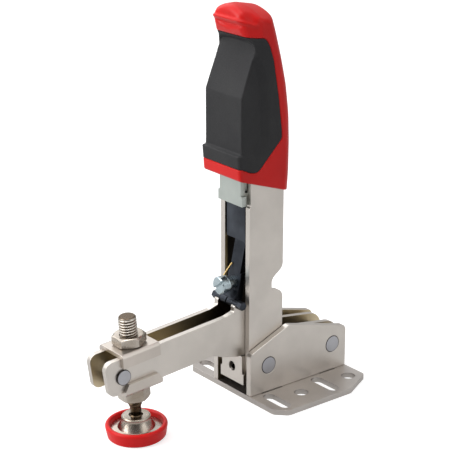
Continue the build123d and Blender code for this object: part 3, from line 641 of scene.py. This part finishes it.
def lip_and_hollow(x, y, z):
    """Height of the rib under the crown's front, less the depth of the hollow below it."""
    below = LIP_Z - LIP_TILT * (LIP_X - x) - z
    rib = RIB_HIGH * np.exp(-((below / RIB_HALF) ** 2)) * (1 - ramp_up(np.abs(y), *RIB_ENDS))
    across = y - LIP_MIDDLE
    tall = np.maximum(HOLLOW_TALL * (1 - (across / HOLLOW_HALF) ** 2), HOLLOW_LEAST)
    foot_from, foot_to = (share * tall for share in HOLLOW_FOOT)
    hollow = ramp_up(below, *HOLLOW_TOP) * (1 - ramp_up(below, foot_from, foot_to))
    hollow *= 1 - ramp_up(np.abs(across), *HOLLOW_ENDS)
    return (rib - hollow) * ramp_up(x, *FRONT_FROM)


on_rib = lip_and_hollow(np.array([LIP_X]), np.array([0.0]), np.array([LIP_Z])).round(2)
print("rib stands out by", float(on_rib[0]), "mm")

# %% [markdown]
# The outer form is the space inside four rounded walls: the sides, the front
# line, the back line and the domed crown, with a sloping foot at the bottom.


# %% Outer form of the grip
ARCH_Z, ARCH_DROP, ARCH_HALF = 163.1, 2.4, 13.0
ARCH_END_DROP, ARCH_ENDS, NOSE_LOW = 7.5, (11.0, 13.1), 166.4
CHEEK_X, CHEEK_TAPER, CHEEK_RISE = 22.8, 0.38, (154.0, 167.0)
CORNER_R, CORNER_GAIN, CORNER_RISE = 1.4, 1.2, (164, 169)
BACK_R, FOOT_R = 5.0, 0.8
CREASE_X, CREASE_BEND, CREASE_HALF = 25.2, 2.6, 12.5
CROWN_Z, CROWN_SAG, CROWN_FALL = 179.1, 6.0, 0.2
CROWN_R, CROWN_R_GAIN, CROWN_FRONT = 1.0, 2.2, (24.0, 27.0)


def grip_form(x, y, z):
    """Outer form of the grip, with both colours in one."""
    arch = ARCH_Z - ARCH_DROP * (y / ARCH_HALF) ** 4
    arch = arch - ARCH_END_DROP * ramp_up(np.abs(y), *ARCH_ENDS)
    stretch = (NOSE_LOW - ARCH_Z) / (NOSE_LOW - arch)
    nose_z = np.where(z < NOSE_LOW, NOSE_LOW - (NOSE_LOW - z) * stretch, z)
    front = np.minimum(PALM.ahead(x, z), NOSE.ahead(x, nose_z))
    narrow = CHEEK_TAPER * np.maximum(x - CHEEK_X, 0) * ramp_up(z, *CHEEK_RISE)
    side = np.abs(y) - GRIP_HALF + narrow
    corner = CORNER_R + CORNER_GAIN * ramp_up(z, *CORNER_RISE)
    plan = both(side, front, corner) - lip_and_hollow(x, y, z)
    plan = both(plan, -BACK.ahead(x, z), BACK_R)
    crease = CREASE_X - CREASE_BEND * (y / CREASE_HALF) ** 2
    top = CROWN_Z - CROWN_SAG * (y / GRIP_HALF) ** 2 - CROWN_FALL * np.maximum(crease - x, 0)
    lean = 2 * CROWN_SAG * y / GRIP_HALF**2
    crown = (z - top) / np.sqrt(1 + lean * lean)
    body = both(plan, crown, CROWN_R + CROWN_R_GAIN * ramp_up(x, *CROWN_FRONT))
    foot = (FOOT_FRONT[1] - FOOT_FALL * (FOOT_FRONT[0] - x) - z) / math.hypot(1, FOOT_FALL)
    return both(body, foot, FOOT_R)


at_palm = grip_form(np.array([THUMB_X]), np.array([0.0]), np.array([130.0])).round(3)
print("grip form at the palm:", abs(float(at_palm[0])))

# %% [markdown]
# ## Skin and shell
# The skin is a layer under the outer form, inside its own edge line, and each
# side has a shallow scoop in it. The shell is what the skin leaves, with a
# pocket inside for the sheet-metal tang.


# %% Skin, scoop and pocket
SKIN_EDGE = [
    (40.0, 110.0), (33.6, 110.0), (28.9, 107.8), (26.9, 107.3), (25.2, 107.4), (23.7, 108.2),
    (11.9, 119.8), (11.5, 121.0), (11.6, 123.9), (13.5, 138.4), (16.5, 155.4), (18.6, 161.3),
    (20.0, 163.8), (21.2, 165.0), (22.6, 165.5), (25.0, 165.6), (31.0, 166.4), (40.0, 166.6),
]
SCOOP_EDGE = [
    (26.2, 160.2), (33.0, 156.0), (39.0, 141.0), (39.0, 117.4), (33.6, 116.9), (28.0, 113.2),
    (26.2, 112.8), (24.4, 114.0), (19.0, 120.6), (18.5, 122.2), (18.6, 134.0), (19.8, 147.3),
    (22.4, 154.5),
]
SKIN_THICK = 2.05
SCOOP_DEEP, SCOOP_SHALLOW, SCOOP_SLOPE = 1.45, 0.6, 0.36
SCOOP_FRONT, SCOOP_LONG = 34.0, 12.0
POCKET = [
    (7.7, 80.0), (29.8, 80.0), (29.8, 136.0), (23.5, 136.0), (23.5, 150.0), (12.0, 150.0),
    (7.7, 108.0),
]
POCKET_HALF = 10.2
SEAM, LIP_R = 0.04, 0.3


def skin_room(x, y, z):
    """Where the soft skin lies: a layer under the outer form, inside its edge line."""
    return both(within(x, z, SKIN_EDGE), -(grip_form(x, y, z) + SKIN_THICK))


def skin_field(x, y, z):
    """The soft skin, with a scoop in each side that gets shallow towards the front."""
    deeper = (SCOOP_DEEP - SCOOP_SHALLOW) * ramp_up(SCOOP_FRONT - x, 0.0, SCOOP_LONG)
    depth = np.minimum(-SCOOP_SLOPE * within(x, z, SCOOP_EDGE), SCOOP_SHALLOW + deeper)
    scoop = (GRIP_HALF - depth - np.abs(y)) / math.hypot(1, SCOOP_SLOPE)
    cut = both(grip_form(x, y, z), -scoop, LIP_R)
    return both(cut, skin_room(x, y, z) + SEAM, LIP_R)


def shell_field(x, y, z):
    """The hard shell: the outer form less the room of the skin and the pocket."""
    shell = both(grip_form(x, y, z), -(skin_room(x, y, z) - SEAM), LIP_R)
    pocket = both(within(x, z, POCKET), np.abs(y) - POCKET_HALF)
    return both(shell, -pocket)


grip_skin = moulding("grip_skin", skin_field, soft_skin, "handle", "grip_insert")
grip_body = moulding("grip_body", shell_field, red_plastic, "handle", "grip_shell")

# %% [markdown]
# ## Round pieces from rings
# A round piece is a stack of rings of points, joined by faces. Ends may be
# closed, or the last ring joined to the first. The pieces here are made
# upright in millimetres, and then laid on the spindle's own leaning axis.


# %% Rings
ARM_TILT = math.radians(4.5)
TIP_RIVET, BEHIND_RIVET = (93.0, 28.6), 9.3
SPINDLE_FOOT = Vector((
    TIP_RIVET[0] - BEHIND_RIVET * math.cos(ARM_TILT), 0.0,
    TIP_RIVET[1] + BEHIND_RIVET * math.sin(ARM_TILT),
))
ON_SPINDLE = Matrix.Translation(SPINDLE_FOOT) @ Matrix.Rotation(ARM_TILT, 4, "Y")


def ring(angle, radius, height):
    """Points round the axis at the given angles."""
    return np.stack([radius * np.cos(angle), radius * np.sin(angle), height + 0 * angle], 1)


def add_rings(target, rings, joined=False):
    """Adds rings to a bmesh, with ends closed or the last ring joined to the first."""
    rows = [[target.verts.new(ON_SPINDLE @ Vector(p) * MM) for p in points] for points in rings]
    pairs = list(zip(rows, rows[1:] + rows[:1])) if joined else list(zip(rows, rows[1:]))
    for low, high in pairs:
        corners = zip(low, low[1:] + low[:1], high[1:] + high[:1], high)
        for corner in corners:
            target.faces.new(corner)
    if not joined:
        target.faces.new(rows[0][::-1])
        target.faces.new(rows[-1])


def from_bmesh(name, source, finish, smooth_corners):
    """An object from a bmesh, smooth on faces with at most so many corners."""
    for face in source.faces:
        face.smooth = len(face.verts) <= smooth_corners
    mesh = bpy.data.meshes.new(name)
    source.to_mesh(mesh)
    source.free()
    return link(name, mesh, finish)


print("spindle foot at", [round(c, 1) for c in SPINDLE_FOOT], "mm")

# %% [markdown]
# ## The threaded spindle
# The spindle is an M8 screw with a pitch of 1.25 mm. Each point of a ring
# has an angle and a height, and its radius follows the thread's profile at
# height plus angle, which makes the helix. The thread runs out on the cone
# above the neck, and the ball below sits in the pad's cup.


# %% Shape of the spindle
SPINDLE_R, SPINDLE_NECK_R = 4.0, 2.5
SPINDLE_TOP, CONE_TOP, NECK_TOP = 23.2, -16.5, -20.0
TOP_CHAMFER = 0.7
PITCH, THREAD_DEPTH = 1.25, 0.62
CREST_SHARE, FLANK_SHARE = 0.14, 0.72
THREAD_END = (SPINDLE_TOP - 1.0, SPINDLE_TOP - 0.3)
PAD_X, PAD_Z, PAD_TILT = 81.6, -4.7, math.radians(2)
BALL_R, BALL_ABOVE_PAD = 3.6, 7.6
BALL_CENTRE = Vector((
    PAD_X + BALL_ABOVE_PAD * math.sin(PAD_TILT), 0.0, PAD_Z + BALL_ABOVE_PAD * math.cos(PAD_TILT)
))


def rod_radius(height):
    """Radius of the plain rod at a height, with its chamfer and its cone."""
    return np.interp(
        height,
        [NECK_TOP, CONE_TOP, SPINDLE_TOP - TOP_CHAMFER, SPINDLE_TOP],
        [SPINDLE_NECK_R, SPINDLE_R, SPINDLE_R, SPINDLE_R - TOP_CHAMFER],
    )


def threaded_rod(columns=48, rows_a_pitch=14):
    """Rings of the spindle, from the middle of its ball to its top."""
    ball_height = -(BALL_CENTRE - SPINDLE_FOOT).length
    threaded = np.arange(NECK_TOP, SPINDLE_TOP, PITCH / rows_a_pitch)
    turn = np.arange(columns) / columns
    rings = []
    for height in [ball_height, *threaded, SPINDLE_TOP]:
        phase = np.mod(height / PITCH - turn, 1.0)
        cut = np.clip((np.abs(2 * phase - 1) - CREST_SHARE) / FLANK_SHARE, 0, 1)
        fade = ramp_up(height, NECK_TOP, CONE_TOP) * (1 - ramp_up(height, *THREAD_END))
        radius = rod_radius(height) - THREAD_DEPTH * fade * cut
        rings.append(ring(2 * math.pi * turn, radius, height))
    return rings


print("threads on the rod:", round((SPINDLE_TOP - CONE_TOP) / PITCH))

# %% [markdown]
# The roots of a thread see little light, so their shade is painted into the
# finish, darker from the crests to the roots, by the distance from the rod's axis.


# %% Spindle
CREST_AT, ROOT_AT = 3.9 * MM, 3.45 * MM


def painted_root_shade(finish, dark):
    """Paints shade on a rod on the spindle's axis, from its crests down to its roots."""
    x, y, z = finish.axes()
    along, up = x - SPINDLE_FOOT.x * MM, z - SPINDLE_FOOT.z * MM
    across = along * math.cos(ARM_TILT) - up * math.sin(ARM_TILT)
    share = finish.between(finish.length(across, y), ROOT_AT, CREST_AT)
    return finish.set("Base Color", finish.blend(share, dark, finish.colour))


plain_zinc = metal("rod_zinc", rgb(206, 200, 192), rgb(176, 167, 155), 0.2, 1800.0, 0.00003)
# The thread's roots get painted shade.
rod_zinc = painted_root_shade(plain_zinc, rgb(92, 78, 62))
rod = bmesh.new()
add_rings(rod, threaded_rod())
ball = bmesh.ops.create_uvsphere(rod, u_segments=40, v_segments=24, radius=BALL_R * MM)
bmesh.ops.translate(rod, verts=ball["verts"], vec=BALL_CENTRE * MM)
threaded_spindle = from_bmesh("threaded_spindle", rod, rod_zinc, 4)
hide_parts("spindle")
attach(threaded_spindle, "spindle")
print("spindle has", len(threaded_spindle.data.vertices), "points")

# %% [markdown]
# ## The nut on the spindle
# A thin hexagon nut whose corners are turned away by a cone. The sides meet
# the cone in the arcs that real nuts show. It sits where the CAD nut sits,
# and its corners point where that nut's corners point.


# %% Top nut
NUT_HALF_FLATS, NUT_HEIGHT, NUT_FACE_R, NUT_BORE_R = 6.5, 4.6, 6.15, 4.06
NUT_CONE = math.radians(30)


def hex_nut(low, turned, columns=96):
    """Rings of a nut, down its bore and up its sides."""
    angle = 2 * math.pi * np.arange(columns) / columns
    side = NUT_HALF_FLATS / np.cos(np.mod(angle - turned, math.pi / 3) - math.pi / 6)
    drop = (side - NUT_FACE_R) * math.tan(NUT_CONE)
    high = low + NUT_HEIGHT
    outline = [
        (NUT_BORE_R, high), (NUT_BORE_R, low), (NUT_FACE_R, low),
        (side, low + drop), (side, high - drop), (NUT_FACE_R, high),
    ]
    return [ring(angle, radius, height) for radius, height in outline]


cad_nut = [ON_SPINDLE.inverted() @ (v.co / MM) for v in NODES["top_nut"].data.vertices]
widest = max(cad_nut, key=lambda p: math.hypot(p.x, p.y))
nut_low = min(p.z for p in cad_nut)
nut = bmesh.new()
add_rings(nut, hex_nut(nut_low, math.atan2(widest.y, widest.x)), joined=True)
thin_nut = from_bmesh("thin_nut", nut, bright_zinc, 0)
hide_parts("top_nut")
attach(thin_nut, "spindle_holder")
print("nut from", round(nut_low, 2), "mm up the spindle")

# %% [markdown]
# ## Floor, backdrop and light
# The clamp stands with its swivel pad a little lower than its base, as on the
# edge of a board, so the pale floor has a low step between the two. Large
# soft lamps stand round it, and the world is white to the camera.

# %% Floor
FLOOR_LOW = CAD_BOX[0].z
STEP_X = (44 * MM, 50 * MM)
STEP_PARTS = 12
FLOOR_REACH = 3.0
FLOOR_SHADE, FLOOR_GLOW, MIRRORED_GLOW = 0.5, 0.74, 0.45


def floor_profile():
    """Points (x, z) of the floor from back to front, with a soft step."""
    rise = [(-FLOOR_REACH, 0.0)]
    for part in range(STEP_PARTS + 1):
        share = part / STEP_PARTS
        x = STEP_X[0] + share * (STEP_X[1] - STEP_X[0])
        rise.append((x, FLOOR_LOW * (1 - math.cos(math.pi * share)) / 2))
    return rise + [(FLOOR_REACH, FLOOR_LOW)]


floor_finish = Finish("pale_floor", Roughness=0.9, Base_Color=(FLOOR_SHADE,) * 3 + (1,))
seen = floor_finish.node("LightPath", output="Is Camera Ray")
mirrored = floor_finish.node("LightPath", output="Is Glossy Ray")
floor_finish.shader.inputs["Emission Strength"].default_value = 1.0
floor_finish.set(
    "Emission Color", floor_finish.grey(FLOOR_GLOW * (seen + MIRRORED_GLOW * mirrored))
)
profile = floor_profile()
floor_points = [(x, y, z) for y in (-FLOOR_REACH, FLOOR_REACH) for x, z in profile]
floor_faces = [
    (n, n + 1, n + 1 + len(profile), n + len(profile)) for n in range(len(profile) - 1)
]
floor_mesh = bpy.data.meshes.new("floor")
floor_mesh.from_pydata(floor_points, [], floor_faces)
floor_mesh.shade_smooth()
floor = link("floor", floor_mesh, floor_finish)
print("floor low side at", round(FLOOR_LOW / MM, 2), "mm")

# %% [markdown]
# Each lamp is a round soft box that aims at the middle of the clamp. Its
# level is the light that arrives there, so a lamp can be moved nearer or
# further without making the scene brighter or darker.

# %% Lamps
# name: (direction from the clamp, distance, size, level)
LAMPS = {
    "key_lamp": ((0.86, -0.34, 0.46), 1.3, 1.0, 0.66),
    "fill_lamp": ((-0.30, 0.90, 0.30), 1.5, 1.0, 0.12),
    "top_lamp": ((0.25, 0.05, 1.0), 1.2, 0.8, 0.38),
    "rim_lamp": ((0.00, -0.77, 0.62), 1.4, 1.4, 0.36),
}
LAMP_AIM = Vector((20, 0, 80)) * MM
for name, (direction, distance, size, level) in LAMPS.items():
    lamp = bpy.data.lights.new(name, "AREA")
    lamp.shape = "DISK"
    lamp.size = size
    lamp.energy = level * (math.pi * distance) ** 2
    stand = bpy.data.objects.new(name, lamp)
    towards = Vector(direction).normalized()
    stand.location = LAMP_AIM + towards * distance
    stand.rotation_euler = towards.to_track_quat("Z", "Y").to_euler()
    bpy.context.scene.collection.objects.link(stand)
print("lamps:", list(LAMPS))

# %% [markdown]
# The world is white where the camera sees it. Soft light from it is weaker,
# and what metal mirrors is a studio: brighter overhead than at eye level,
# with one dark side, which puts the dark streaks into bright round pieces.

# %% World
WORLD_SOFT = 0.24
STUDIO_LOW, STUDIO_HIGH = 0.42, 1.15
STUDIO_RISE = (0.1, 0.85)
DARK_SIDE = (0.62, 0.70, 0.30)
DARK_LEVEL, DARK_REACH = 0.25, (0.72, 0.95)


class Sky(Finish):
    """The same node helpers on the world's own nodes."""

    def __init__(self, world):
        world.use_nodes = True
        self.tree = world.node_tree
        self.backdrop = self.tree.nodes["Background"]


world = bpy.data.worlds.new("studio")
bpy.context.scene.world = world
sky = Sky(world)
towards = sky.node("TexCoord", output="Generated")
height = sky.node("SeparateXYZ", {}, {0: towards}, "Z")
rise = sky.between(height, *STUDIO_RISE, "SMOOTHSTEP")
turned_dark = sky.node(
    "VectorMath", {"operation": "DOT_PRODUCT"}, {0: towards, 1: DARK_SIDE}, "Value"
)
dark = sky.between(turned_dark, *DARK_REACH, "SMOOTHSTEP")
studio = (STUDIO_LOW + (STUDIO_HIGH - STUDIO_LOW) * rise) * (1 - (1 - DARK_LEVEL) * dark)
to_camera = sky.node("LightPath", output="Is Camera Ray")
to_metal = sky.node("LightPath", output="Is Glossy Ray")
plain = 1 - to_camera - to_metal
sky.connect(sky.backdrop.inputs["Strength"], to_camera + to_metal * studio + plain * WORLD_SOFT)
sky.backdrop.inputs["Color"].default_value = (1, 1, 1, 1)
print("world nodes:", len(sky.tree.nodes))
